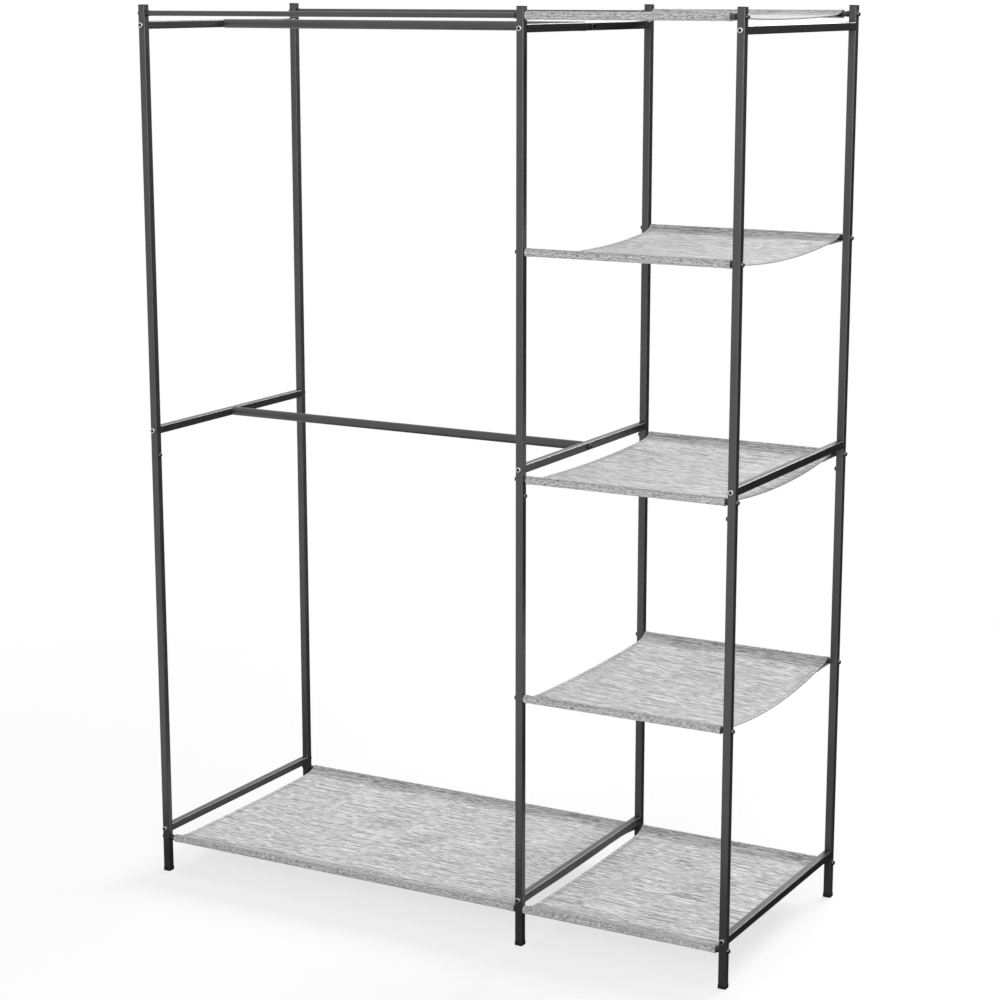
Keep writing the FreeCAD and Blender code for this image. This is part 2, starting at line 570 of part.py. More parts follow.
def lay_cross_rods():
    """The cross rods of both bays, a plug in each end, and the screws and studs that hold the plugs."""
    plug_spots = []
    screw_spots = []
    stud_spots = []
    half_tube = "Sizes.tube_side / 2"
    for bay, first, last in [("wide", "left", "middle"), ("narrow", "middle", "right")]:
        for level in rod_levels(first if bay == "wide" else last):
            height = f"Places.rod_{level}"
            for row in ROWS:
                make_round_tube(f"{bay}_rod_{level}_{row}", (f"Places.{bay}_x", row_y(row), height),
                                "Sizes.rod_diameter", "Places.rod_bore", f"Places.{bay}_rod_length")
                plug_spots.append(((f"{frame_x(first)} + {half_tube}", row_y(row), height), TO_RIGHT))
                plug_spots.append(((f"{frame_x(last)} - {half_tube}", row_y(row), height), TO_LEFT))
    for row in ROWS:
        for frame in FRAMES:
            for level in rod_levels(frame):
                height = f"Places.rod_{level}"
                if frame == "middle" and level in rod_levels("left"):
                    stud_spots.append(((frame_x(frame), row_y(row), height), TO_RIGHT))
                elif frame == "right":
                    screw_spots.append(((f"{frame_x(frame)} + {half_tube}", row_y(row), height), TO_RIGHT))
                else:
                    screw_spots.append(((f"{frame_x(frame)} - {half_tube}", row_y(row), height), TO_LEFT))
    scatter("rod_end_plugs", make_rod_plug(), plug_spots)
    length = "(Sizes.tube_side + Sizes.rod_screw_reach)"
    scatter("rod_screws", make_screw("rod_screw_template", "rod_screw", length), screw_spots)
    scatter("rod_studs", make_stud(), stud_spots)


def hang_slings():
    """One wide sling near the floor, and a narrow one on each level of the narrow bay."""
    make_sling("wide", 1, "left", "middle")
    for level in rod_levels("right"):
        make_sling("narrow", level, "middle", "right")


def check_and_export():
    """Stops if any object failed, then writes each sub-part to its own file."""
    doc.recompute()
    failed = [item.Name for item in doc.Objects if {"Invalid", "Error"} & set(item.State)]
    failed += [part.Label for part in sub_parts if part.Shape.isNull() or not part.Shape.isValid()]
    if failed:
        raise RuntimeError("failed: " + ", ".join(failed))
    os.makedirs("parts", exist_ok=True)
    for part in sub_parts:
        part.Shape.exportStep(f"parts/{part.Label}.step")
    whole = Part.makeCompound([part.Shape for part in sub_parts])
    print(len(sub_parts), "sub-parts,", len(whole.Solids), "solids,", whole.BoundBox)


fill_sheets()
make_frames()
fasten_side_rails()
hang_rails()
lay_cross_rods()
hang_slings()
check_and_export()
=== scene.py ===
"""Looks of an open frame wardrobe: coated tubes, moulded fittings, plated screws and heather cloth slings.

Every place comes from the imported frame. +X runs to the right across the front, +Y to the rear and +Z up,
in metres. The wide bay, with the hanging rails, is on the left, and the narrow bay is on the right.
"""
import math

import bpy
import numpy as np
from bpy.props import FloatProperty, FloatVectorProperty, PointerProperty
from bpy.types import Operator, Panel, PropertyGroup
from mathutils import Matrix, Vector


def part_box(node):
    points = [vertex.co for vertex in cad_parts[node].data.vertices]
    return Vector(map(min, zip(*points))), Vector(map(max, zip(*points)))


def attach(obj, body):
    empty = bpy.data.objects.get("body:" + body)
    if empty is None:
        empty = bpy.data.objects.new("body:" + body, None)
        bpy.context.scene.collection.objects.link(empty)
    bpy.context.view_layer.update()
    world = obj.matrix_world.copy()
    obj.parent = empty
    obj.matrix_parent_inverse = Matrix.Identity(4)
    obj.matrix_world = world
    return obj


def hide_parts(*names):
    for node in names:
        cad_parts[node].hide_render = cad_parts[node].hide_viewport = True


bl_info = {
    "name": "Open frame wardrobe",
    "version": (1, 0, 0),
    "blender": (4, 5, 0),
    "location": "3D View > Sidebar > Wardrobe",
    "description": "Coats the wardrobe's frame, sews its cloth slings and sets a studio round it",
    "category": "Object",
}

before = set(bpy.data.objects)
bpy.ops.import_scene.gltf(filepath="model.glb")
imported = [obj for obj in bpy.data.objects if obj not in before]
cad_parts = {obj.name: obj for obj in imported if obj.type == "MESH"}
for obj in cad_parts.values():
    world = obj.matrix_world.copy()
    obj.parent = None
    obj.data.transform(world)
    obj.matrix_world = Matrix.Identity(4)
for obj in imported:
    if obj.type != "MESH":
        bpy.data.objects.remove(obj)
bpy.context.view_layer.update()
MM = 0.001

# Slings: bay and level of each, from the floor up
SLINGS = [("wide", 1), ("narrow", 1), ("narrow", 2), ("narrow", 3), ("narrow", 4), ("narrow", 5)]

# Rows of a sling's grid, which run along the rods
FLAP_ROWS = 7             # on the flap of a hem
RUN_ROWS = 14             # on each run between a hem's seam and its rod, with the run's two ends
LOOP_ROWS = 32            # round the rod
WEB_ROWS = 65             # between the hems' seams
# Rows of a whole hem, and the middle one of those round its rod, both from the cloth's free edge
HEM_ROWS = FLAP_ROWS + 2 * (RUN_ROWS - 2) + LOOP_ROWS
SLEEVE_ROW = FLAP_ROWS + RUN_ROWS - 2 + (LOOP_ROWS - 1) / 2

# Columns of a sling's grid in a folded side, from the side's edge, and where the fold ends, from there
FOLD_SEAM = 0.8 * MM
EDGE_COLUMNS = np.array([0, 0.4, 1.5, 3, 4.5]) * MM
FOLD_COLUMNS = np.array([-FOLD_SEAM, -0.3 * MM, 0.2 * MM, 1.2 * MM])
EDGE_TAPER = 0.7          # thickness of a side's very edge, as a share
RIM_PAINTED_SHADE = 0.9          # painted shade on a side's very edge: how dark it is, and over what width
RIM_WIDTH = 1.0 * MM
FOLD_PAINTED_SHADE = 0.7         # painted shade at the end of its fold: how dark it is, and over what width
FOLD_WIDTH = 1.2 * MM
SHARP = math.radians(50)  # turn from which an edge of the cloth shows as a crease

# Wrinkles and yarns
WAVES = (0.17, 0.11, 0.075)    # lengths of the wrinkles in metres; a longer one is higher
WAVE_UNIT = 0.35               # length of a wave of the height that is set
WAVE_LEAN = 0.12               # the most that a wrinkle leans
TURN = 6.28                    # the most by which a wave is shifted, as an angle
PUCKERS = 5                    # how much shorter a hem's puckers are than the wrinkles
PUCKER_SEED = 40               # added to a sling's seed, so that its puckers differ from its wrinkles
YARN_SHIFT = (0.37, 0.91)      # metres along and across the yarns from one sling's pattern to the next

# A stitch is a spindle
SPINDLE_SIDES = 6
SPINDLE_SHOULDER = 0.6    # where it begins to taper, as a share of half its length
THREAD_FLAT = 0.7         # its height as a share of its width

# Studio, in metres: place, target, width and height of each softbox, then floor and flag
MIDDLE = (0.0, 0.0, 0.9)
SOFTBOXES = {
    "back": ((0.9, 6.4, 4.3), MIDDLE, 4.5, 3.0),
    "front": ((1.8, -4.8, 2.7), MIDDLE, 3.0, 3.0),
    "top": ((1.0, 0.0, 4.4), (-0.2, 0.0, 0.0), 2.4, 2.4),
}
FLOOR_REACH = 30.0
FLAG_NEAR = [(-1.0, 0.6), (-1.0, -0.5), (0.7, -0.8)]    # corners on the floor, from the left rear
FLAG_FOLD = [(3.2, 0.8), (0.3, 3.2)]                    # where it leaves the floor
FLAG_LIFT = 1 * MM
FLAG_TOP = 2.4


def linear(code):
    """A colour code such as #B4B4B4, which is sRGB, as linear red, green, blue and alpha."""
    shown = [int(code[place:place + 2], 16) / 255 for place in (1, 3, 5)]
    return [c / 12.92 if c <= 0.04045 else ((c + 0.055) / 1.055) ** 2.4 for c in shown] + [1.0]


class WardrobeFinishes(PropertyGroup):
    """Colours of the frame and its fittings."""
    coat: FloatVectorProperty(name="Coat", description="Powder coat of tubes, rods and rails",
                              subtype="COLOR", size=4, min=0, max=1, default=linear("#282828"))
    coat_worn: FloatVectorProperty(name="Coat, paler", description="Paler drift of the powder coat",
                                   subtype="COLOR", size=4, min=0, max=1, default=linear("#303030"))
    # Painted shade: the side rails have a darker copy of the frame's coat
    rail_coat_shaded: FloatVectorProperty(name="Rail coat", description="Powder coat of the side rails",
                                   subtype="COLOR", size=4, min=0, max=1, default=linear("#222222"))
    rail_coat_shaded_paler: FloatVectorProperty(name="Rail coat, paler", description="Paler drift of the rails' coat",
                                   subtype="COLOR", size=4, min=0, max=1, default=linear("#2A2A2A"))
    moulded: FloatVectorProperty(name="Mouldings", description="Feet, caps and rod end plugs",
                                 subtype="COLOR", size=4, min=0, max=1, default=linear("#191919"))
    rail_screw: FloatVectorProperty(name="Rail screws", description="Plated heads on the uprights' fronts",
                                    subtype="COLOR", size=4, min=0, max=1, default=linear("#B8B8B8"))
    rod_screw: FloatVectorProperty(name="Rod screws", description="Blackened heads on the outer sides",
                                   subtype="COLOR", size=4, min=0, max=1, default=linear("#545454"))
    # Painted shade: the colour that the screws' sockets and other recesses are darkened to
    socket: FloatVectorProperty(name="Sockets", description="Oil in the sockets of the screws",
                                subtype="COLOR", size=4, min=0, max=1, default=linear("#080808"))
    zinc: FloatVectorProperty(name="Zinc", description="Inserts, joiners and studs inside the tubes",
                              subtype="COLOR", size=4, min=0, max=1, default=linear("#B6B9BB"))


class WardrobeCloth(PropertyGroup):
    """Sizes and colours of the slings."""
    thickness: FloatProperty(name="Thickness", description="One layer of cloth",
                             subtype="DISTANCE", default=1.2 * MM)
    edge_thickness: FloatProperty(name="Edge thickness", description="Folded cloth along a side",
                                  subtype="DISTANCE", default=2.0 * MM)
    edge_fold: FloatProperty(name="Edge fold", description="Width of the fold along a side",
                             subtype="DISTANCE", default=8.5 * MM)
    hem_gap: FloatProperty(name="Hem gap", description="Air between a rod and the hem round it",
                           subtype="DISTANCE", default=0.8 * MM)
    pocket: FloatProperty(name="Pocket", description="A hem's seam from the axis of its rod",
                          subtype="DISTANCE", default=40 * MM)
    hug: FloatProperty(name="Hug", description="Angle by which a hem's upper layer follows its rod down",
                       subtype="ANGLE", default=math.radians(20))
    layer_gap: FloatProperty(name="Layer gap", description="Air between a hem's flap and the cloth over it",
                             subtype="DISTANCE", default=0.3 * MM)
    web_drop: FloatProperty(name="Web drop", description="Cloth below the rods' axes, before its sag",
                            subtype="DISTANCE", default=1.5 * MM)
    pull: FloatProperty(name="Pull", description="How far a side is drawn in between the rods",
                        subtype="DISTANCE", default=4 * MM)
    pull_reach: FloatProperty(name="Pull reach", description="Way from a rod over which a side is drawn in",
                              subtype="DISTANCE", default=60 * MM)
    flap: FloatProperty(name="Flap", description="Cloth beyond a hem's seam, sewn down",
                        subtype="DISTANCE", default=6 * MM)
    wrinkle: FloatProperty(name="Wrinkle", description="Height of the soft wrinkles between the rods",
                           subtype="DISTANCE", default=0.9 * MM)
    pucker: FloatProperty(name="Pucker", description="Height of the puckers along a hem",
                          subtype="DISTANCE", default=0.2 * MM)
    column: FloatProperty(name="Column", description="Width of a column of the cloth's grid",
                          subtype="DISTANCE", default=6 * MM)
    stitch: FloatProperty(name="Stitch", description="Length of a stitch",
                          subtype="DISTANCE", default=3.2 * MM)
    stitch_pitch: FloatProperty(name="Stitch pitch", description="From one stitch to the next",
                                subtype="DISTANCE", default=4.0 * MM)
    thread: FloatProperty(name="Thread", description="Width of a stitch's thread",
                          subtype="DISTANCE", default=0.7 * MM)
    left_sags: FloatVectorProperty(name="Left sags", description="Drop of each left edge, floor up",
                                   subtype="TRANSLATION", size=6,
                                   default=[sag * MM for sag in (4, 4.5, 6.5, 7.5, 16, 4)])
    right_sags: FloatVectorProperty(name="Right sags", description="Drop of each right edge, floor up",
                                    subtype="TRANSLATION", size=6,
                                    default=[sag * MM for sag in (5, 6, 23.5, 17, 15, 5)])
    pale: FloatVectorProperty(name="Pale yarn", description="Pale slubs of the cloth",
                              subtype="COLOR", size=4, min=0, max=1, default=linear("#E4E4E4"))
    # Dark slubs, and also the colour of the painted shade at the sides' edges and the ends of their folds
    dark: FloatVectorProperty(name="Dark yarn", description="Dark slubs of the cloth",
                              subtype="COLOR", size=4, min=0, max=1, default=linear("#909090"))
    # Painted shade of the hems: their colour is multiplied by this grey, as if less light passed through two
    # layers and the black rod
    painted_hem_shade: FloatVectorProperty(name="Doubled cloth", description="Tint of the hems, two layers thick",
                                 subtype="COLOR", size=4, min=0, max=1, default=linear("#DEDEDE"))
    sewing: FloatVectorProperty(name="Sewing thread", description="Thread of the seams",
                                subtype="COLOR", size=4, min=0, max=1, default=linear("#A6A6A6"))


class WardrobeStage(PropertyGroup):
    """The studio: camera, lamps and floor."""
    camera_place: FloatVectorProperty(name="Camera", description="Where the camera stands",
                                      subtype="TRANSLATION", size=3, default=(2.2483, -4.0324, 1.7684))
    camera_turn: FloatProperty(name="Turn", description="Camera's turn to the left of +Y",
                               subtype="ANGLE", default=math.radians(28.98))
    camera_dip: FloatProperty(name="Dip", description="Camera's dip below the horizon",
                              subtype="ANGLE", default=math.radians(11.95))
    lens: FloatProperty(name="Lens", description="Focal length in millimetres", default=86.9)
    ambient: FloatProperty(name="Ambient", description="Strength of the room's own light", default=0.22)
    back_power: FloatProperty(name="Back lamp", description="Power of the softbox behind, on the right",
                              subtype="POWER", default=560)
    front_power: FloatProperty(name="Front lamp", description="Power of the softbox at the front",
                               subtype="POWER", default=180)
    top_power: FloatProperty(name="Top lamp", description="Power of the softbox overhead",
                             subtype="POWER", default=40)
    floor_shade: FloatProperty(name="Floor shade", description="Share of the shadow that the floor keeps",
                               subtype="FACTOR", min=0, max=1, default=0.3)
    floor_near: FloatProperty(name="Lit floor", description="Floor that keeps the shadow, from the middle",
                              subtype="DISTANCE", default=1.0)
    floor_far: FloatProperty(name="White floor", description="Where the floor has become plain white",
                             subtype="DISTANCE", default=2.6)
    floor_colour: FloatVectorProperty(name="Floor", description="Floor near the wardrobe",
                                      subtype="COLOR", size=4, min=0, max=1, default=linear("#F7F7F7"))
    surround: FloatVectorProperty(name="Surround", description="White behind and around everything",
                                  subtype="COLOR", size=4, min=0, max=1, default=linear("#FFFFFF"))
    flag_colour: FloatVectorProperty(name="Flag", description="Felt that shows in reflections",
                                     subtype="COLOR", size=4, min=0, max=1, default=linear("#202020"))


def add_node(tree, kind, inputs=None, **settings):
    """A shader node with its settings; an input is given a constant, or a socket to link from."""
    made = tree.nodes.new("ShaderNode" + kind)
    for name, value in settings.items():
        setattr(made, name, value)
    for name, value in (inputs or {}).items():
        if isinstance(value, bpy.types.NodeSocket):
            tree.links.new(value, made.inputs[name])
        else:
            made.inputs[name].default_value = value
    return made


def new_material(name):
    """An empty material, its node tree and the output that its surface goes to."""
    material = bpy.data.materials.new(name)
    material.use_nodes = True
    material.node_tree.nodes.clear()
    output = add_node(material.node_tree, "OutputMaterial")
    return material, material.node_tree, output.inputs["Surface"]


def object_grain(tree, size, detail=2.0, roughness=0.5):
    """Noise on Object coordinates whose grain has a size in metres."""
    place = add_node(tree, "TexCoord").outputs["Object"]
    settings = {"Vector": place, "Scale": 1 / size, "Detail": detail, "Roughness": roughness}
    return add_node(tree, "TexNoise", settings).outputs["Fac"]


def spread(tree, fac, low, high, start=0.3, end=0.7):
    """Noise between two limits, stretched to run from one value to another."""
    ends = {"Value": fac, "From Min": start, "From Max": end, "To Min": low, "To Max": high}
    return add_node(tree, "MapRange", ends).outputs["Result"]


def blend(tree, fac, first, second, kind="MIX"):
    """A colour mixed from two by a factor; a Mix node has them at its inputs 0, 6 and 7."""
    mixed = add_node(tree, "Mix", {0: fac, 6: first, 7: second}, data_type="RGBA", blend_type=kind)
    return mixed.outputs[2]


def powder_coat(name, coat, worn, roughness, shine):
    """Polyester powder coat on steel tube: an even satin black, whose melted grains leave an orange peel.

    The peel is about 0.8 mm on the real tube; it is drawn at 2.2 mm so that it shows.
    """
    material, tree, surface = new_material(name)
    drift = spread(tree, object_grain(tree, 70 * MM, detail=3), 0, 1)
    peel = object_grain(tree, 2.2 * MM)
    bump = add_node(tree, "Bump", {"Strength": 0.12, "Distance": 0.15 * MM, "Height": peel})
    shader = add_node(tree, "BsdfPrincipled", {
        "Base Color": blend(tree, drift, coat, worn),
        "Roughness": spread(tree, peel, roughness - 0.04, roughness + 0.06),
        "Specular IOR Level": shine,
        "Normal": bump.outputs["Normal"],
    })
    tree.links.new(shader.outputs["BSDF"], surface)
    return material


def moulded_plastic(name, finishes, grain, gloss):
    """Injection-moulded black polypropylene or nylon: a spark-eroded grain that scatters its soft shine.

    The grain is about 0.2 mm on the real fittings; it is drawn at about 1 mm so that it shows.
    """
    material, tree, surface = new_material(name)
    texture = object_grain(tree, grain, detail=3)
    bump = add_node(tree, "Bump", {"Strength": 0.2, "Distance": 0.1 * MM, "Height": texture})
    tone = spread(tree, object_grain(tree, 12 * MM), 0, 0.5)
    shader = add_node(tree, "BsdfPrincipled", {
        "Base Color": blend(tree, tone, finishes.moulded, finishes.coat),
        "Roughness": spread(tree, texture, gloss, gloss + 0.12),
        "Specular IOR Level": 0.4,
        "Normal": bump.outputs["Normal"],
    })
    tree.links.new(shader.outputs["BSDF"], surface)
    return material


def recess_shade_mask(tree):
    """Mask of painted shade: 1 in the sockets of the screws and 0 on their open faces, from how much of the
    sky a place sees.

    What lies within 4 mm counts, which is about the width of a socket.
    """
    sky = add_node(tree, "AmbientOcclusion", {"Distance": 4 * MM}, samples=16, only_local=True)
    return spread(tree, sky.outputs["AO"], 1, 0, 0.5, 0.85)


def plated_steel(name, colour, recess_shade_colour, roughness, grain):
    """Plated steel: a metal whose thin plating is a little cloudy, with painted shade in its recesses."""
    material, tree, surface = new_material(name)
    cloud = object_grain(tree, grain, detail=3)
    darker = [channel * 0.8 for channel in colour[:3]] + [1.0]
    plating = blend(tree, spread(tree, cloud, 0, 1), darker, colour)
    shader = add_node(tree, "BsdfPrincipled", {
        "Base Color": blend(tree, recess_shade_mask(tree), plating, recess_shade_colour),
        "Metallic": 1.0,
        "Roughness": spread(tree, cloud, roughness, roughness + 0.12),
    })
    tree.links.new(shader.outputs["BSDF"], surface)
    return material


def streaks(tree, length, width, detail, roughness):
    """Noise drawn out along the yarn of the cloth's own UV map, which is in metres."""
    yarn = add_node(tree, "UVMap", uv_map="cloth").outputs["UV"]
    drawn = add_node(tree, "Mapping", {"Vector": yarn, "Scale": (1 / length, 1 / width, 1)})
    settings = {"Vector": drawn.outputs["Vector"], "Scale": 1.0, "Detail": detail, "Roughness": roughness}
    return add_node(tree, "TexNoise", settings, noise_dimensions="2D").outputs["Fac"]


def heather_cloth(cloth):
    """Woven polyester in heather grey: slub yarns along the rods, pale and dark, over a mottled ground.

    Slubs are 20 to 110 mm long and a yarn thick. The yarn is 0.8 mm on the real cloth; it is drawn at 1.4
    to 2.6 mm, so that it shows from a few steps away. Where the cloth is tight round a rod, it shows the
    short speckle of its weave. Painted shade darkens the hems, the very edges of the folded sides and the
    ends of their folds.
    """
    material, tree, surface = new_material("Polyester cloth, heather grey")
    # Long streaks of dark and pale yarn, broken by shorter ends, and single thick yarns over them
    mottle = streaks(tree, 110 * MM, 2.0 * MM, 1, 0.5)
    slubs = streaks(tree, 60 * MM, 1.6 * MM, 1, 0.6)
    grain = streaks(tree, 20 * MM, 2.6 * MM, 0, 0.5)
    weave = streaks(tree, 8.0 * MM, 1.4 * MM, 1, 0.5)
    for part, share in ((grain, 0.5), (weave, 0.3)):
        parts = {0: part, 1: share, 2: mottle}
        mottle = add_node(tree, "Math", parts, operation="MULTIPLY_ADD").outputs["Value"]
    ground = blend(tree, spread(tree, mottle, 0, 1, 0.83, 0.97), cloth.dark, cloth.pale)
    ground = blend(tree, spread(tree, slubs, 0, 0.5, 0.55, 0.75), ground, cloth.pale)
    ground = blend(tree, spread(tree, slubs, 0.5, 0, 0.25, 0.45), ground, cloth.dark)
    # Speckle round the rods, then painted shade on the hems, sides' edges and fold ends, from the marks
    speckled = blend(tree, spread(tree, weave, 0, 1, 0.4, 0.6), cloth.dark, cloth.pale)
    sleeve = add_node(tree, "Attribute", attribute_name="sleeve").outputs["Fac"]
    ground = blend(tree, spread(tree, sleeve, 0, 0.7, 0, 1), ground, speckled)
    # Painted shade: the hems are multiplied by a grey
    painted_hem_shade = add_node(tree, "Attribute", attribute_name="painted_hem_shade").outputs["Fac"]
    ground = blend(tree, painted_hem_shade, ground, cloth.painted_hem_shade, "MULTIPLY")
    # Painted shade at the sides' edges and at the ends of their folds
    for mark in ("rim", "fold_end_painted_shade"):
        painted_edge_shade = add_node(tree, "Attribute", attribute_name=mark).outputs["Fac"]
        ground = blend(tree, painted_edge_shade, ground, cloth.dark)
    relief = add_node(tree, "Math", {0: weave, 1: slubs}, operation="ADD").outputs["Value"]
    bump = add_node(tree, "Bump", {"Strength": 0.35, "Distance": 0.3 * MM, "Height": relief})
    shader = add_node(tree, "BsdfPrincipled", {
        "Base Color": ground,
        "Roughness": 0.85,
        "Specular IOR Level": 0.2,
        "Sheen Weight": 0.1,
        "Normal": bump.outputs["Normal"],
    })
    tree.links.new(shader.outputs["BSDF"], surface)
    return material


def sewing_thread(cloth):
    """Twisted polyester thread: the twist, one turn in 0.9 mm, shows as fine slanting ribs."""
    material, tree, surface = new_material("Polyester thread, grey")
    twist = object_grain(tree, 0.9 * MM)
    bump = add_node(tree, "Bump", {"Strength": 0.3, "Distance": 0.1 * MM, "Height": twist})
    shader = add_node(tree, "BsdfPrincipled", {
        "Base Color": blend(tree, spread(tree, twist, 0, 0.5), cloth.sewing, cloth.pale),
        "Roughness": 0.6,
        "Normal": bump.outputs["Normal"],
    })
    tree.links.new(shader.outputs["BSDF"], surface)
    return material


def new_piece(name, points, faces, material):
    """A mesh object at the origin from arrays of points and faces."""
    mesh = bpy.data.meshes.new(name)
    mesh.from_pydata(points.tolist(), [], faces)
    mesh.materials.append(material)
    piece = bpy.data.objects.new(name, mesh)
    bpy.context.scene.collection.objects.link(piece)
    return piece


def paint_slot(slot, material):
    """Gives every CAD node of a material slot its finish."""
    painted = 0
    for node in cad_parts.values():
        for place in node.material_slots:
            if place.material and place.material.name.split(".")[0] == slot:
                place.material = material
                painted += 1
    if not painted:
        raise RuntimeError(f"no node has the material slot {slot}")


def rod_axis(bay, level, row):
    """Depth and height of a cross rod's axis, and the rod's radius, from its box."""
    low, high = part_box(f"{bay}_rod_{level}_{row}")
    return (low.y + high.y) / 2, (low.z + high.z) / 2, (high.z - low.z) / 2


def sling_profile(cloth, rod_radius, span):
    """Side profile of a sling, from the free edge under its front hem to that under its rear hem.

    A hem is a flap under the cloth, a straight run from the seam to a circle round the rod, that circle up
    the outer side, over the top and a little down again, and a hollow run p (1 - t)^2 + 2 b t (1 - t) + s t^2
    from there, p, to the seam, s, where the cloth between the rods begins; b is where the tangent at p comes
    down to the seam's height. Two passes of (previous + 2 row + next) / 4 round the seams off. Returns rows
    of y from the middle of the span, z from the rods' axes, the share of the sag, which is
    1 - (y / half span)^2 and dies away along the runs, and the share of the hem, 1 on the circle and 0 from
    the seam on.
    """
    loop = rod_radius + cloth.hem_gap + cloth.edge_thickness / 2
    half = span / 2
    rod = np.array([-half, 0.0])
    over = np.array([cloth.pocket, -cloth.web_drop])
    under = over - np.array([0.0, cloth.edge_thickness + cloth.layer_gap])

    def touch(seam, side):
        """Angle at which a line from a seam touches the circle: acos(radius / way) from the seam's own."""
        return math.atan2(seam[1], seam[0]) + side * math.acos(loop / np.linalg.norm(seam))

    def rows(path, sagging, hemmed):
        """A stretch of the profile: its path, the share of the sag and the share of the hem."""
        return np.stack(np.broadcast_arrays(path[:, 0], path[:, 1], sagging, hemmed), axis=1)

    def share(y):
        """Share of the sag: 1 in the middle of the span and 0 over the rods."""
        return 1 - (y / half) ** 2

    leave = touch(over, 1) - cloth.hug
    turn = np.linspace(touch(under, -1), leave - 2 * math.pi, LOOP_ROWS)
    circle = rod + loop * np.stack([np.cos(turn), np.sin(turn)], axis=1)
    flap = rod + under + np.linspace(1, 0, FLAP_ROWS)[:, None] * np.array([cloth.flap, 0.0])
    along = np.linspace(0, 1, RUN_ROWS)[1:-1]
    t = along[:, None]
    there = (rod + under) * (1 - t) + circle[0] * t
    fall = (circle[-1][1] - over[1]) / math.cos(leave)
    bend = circle[-1] + fall * np.array([math.sin(leave), -math.cos(leave)])
    back = circle[-1] * (1 - t) ** 2 + 2 * bend * t * (1 - t) + (rod + over) * t ** 2
    seam_share = share(rod[0] + over[0])
    hem = np.concatenate([
        rows(flap, share(flap[:, 0]), 0),
        rows(there, seam_share * (1 - along), along),
        rows(circle, 0, 1),
        rows(back, seam_share * along, 1 - along),
    ])
    reach = -(half - cloth.pocket) * np.cos(np.linspace(0, math.pi, WEB_ROWS))
    web = np.stack([reach, 0 * reach - cloth.web_drop, share(reach), 0 * reach], axis=1)
    profile = np.concatenate([hem, web, hem[::-1] * np.array([-1, 1, 1, 1])])
    for _ in range(2):
        profile[1:-1] = (profile[:-2] + 2 * profile[1:-1] + profile[2:]) / 4
    return profile


def sling_columns(cloth, left, right):
    """Columns across a sling, closest where its folds end: x, way from the nearer side, and thickness."""
    fold = cloth.edge_fold
    edge = np.concatenate([EDGE_COLUMNS, fold + FOLD_COLUMNS])
    count = round((right - left - 2 * edge[-1]) / cloth.column)
    inner = np.linspace(left + edge[-1], right - edge[-1], count + 1)[1:-1]
    x = np.concatenate([left + edge, inner, right - edge[::-1]])
    inset = np.minimum(x - left, right - x)
    thickness = np.where(inset < fold, cloth.edge_thickness, cloth.thickness)
    thickness[[0, -1]] *= EDGE_TAPER
    return x, inset, thickness


def wrinkles(x, y, seed):
    """Soft wrinkles that run from rod to rod: a sum of long sine waves across x that lean a little with y."""
    draw = np.random.default_rng(seed)
    height = 0 * (x + y)
    for wave in WAVES:
        lean = draw.uniform(-WAVE_LEAN, WAVE_LEAN)
        start = draw.uniform(0, TURN)
        height = height + wave / WAVE_UNIT * np.sin(2 * math.pi * (x + lean * y) / wave + start)
    return height


def sling_surface(cloth, places, sags, seed):
    """Middle surface of a sling: its profile carried across the columns, with a sag from left to right.

    z = rod height + profile z - share of the sag * (sag at that column + wrinkles), the sides are drawn in
    by pull * (1 - (1 - way from the rod / reach)^2), and the loops of the hems swell and shrink a little
    along x. Returns the grid of points, its unit normals and the columns.
    """
    front, rear, left, right = places
    x, inset, thickness = sling_columns(cloth, left, right)
    span = rear[0] - front[0]
    profile = sling_profile(cloth, front[2], span)
    y, z, share, loop = (column[:, None] for column in profile.T)
    sag = np.interp(x, [left, right], sags)
    drop = share * (sag + cloth.wrinkle * wrinkles(x, y, seed))
    way = np.clip((span / 2 - np.abs(y)) / cloth.pull_reach, 0, 1)
    drawn = x + (1 - (1 - way) ** 2) * np.interp(x, [left, right], [cloth.pull, -cloth.pull])
    deep = y + (front[0] + rear[0]) / 2
    points = np.stack(np.broadcast_arrays(drawn, deep, front[1] + z - drop), axis=2)
    swell = loop * cloth.pucker * wrinkles(PUCKERS * x, 0 * y, seed + PUCKER_SEED)
    points = points + sling_normals(points) * swell[:, :, None]
    return points, sling_normals(points), x, inset, thickness


def sling_normals(points):
    """Unit normals of a grid: across the columns times along the profile."""
    normals = np.cross(np.gradient(points, axis=1), np.gradient(points, axis=0))
    return normals / np.linalg.norm(normals, axis=2, keepdims=True)


def sheet_faces(rows, columns):
    """Quads of a closed sheet: its upper grid, its lower grid turned over, and the rim that joins them."""
    upper = np.arange(rows * columns).reshape(rows, columns)
    lower = upper + rows * columns

    def strip(a, b):
        """Quads between two lines of points."""
        return np.stack([a[:-1], b[:-1], b[1:], a[1:]], axis=-1).reshape(-1, 4)

    top = np.stack([upper[:-1, :-1], upper[:-1, 1:], upper[1:, 1:], upper[1:, :-1]], axis=-1)
    top = top.reshape(-1, 4)
    rim = [strip(upper[0], lower[0]), strip(lower[-1], upper[-1]),
           strip(lower[:, 0], upper[:, 0]), strip(upper[:, -1], lower[:, -1])]
    return np.concatenate([top, top[:, ::-1] + rows * columns] + rim)


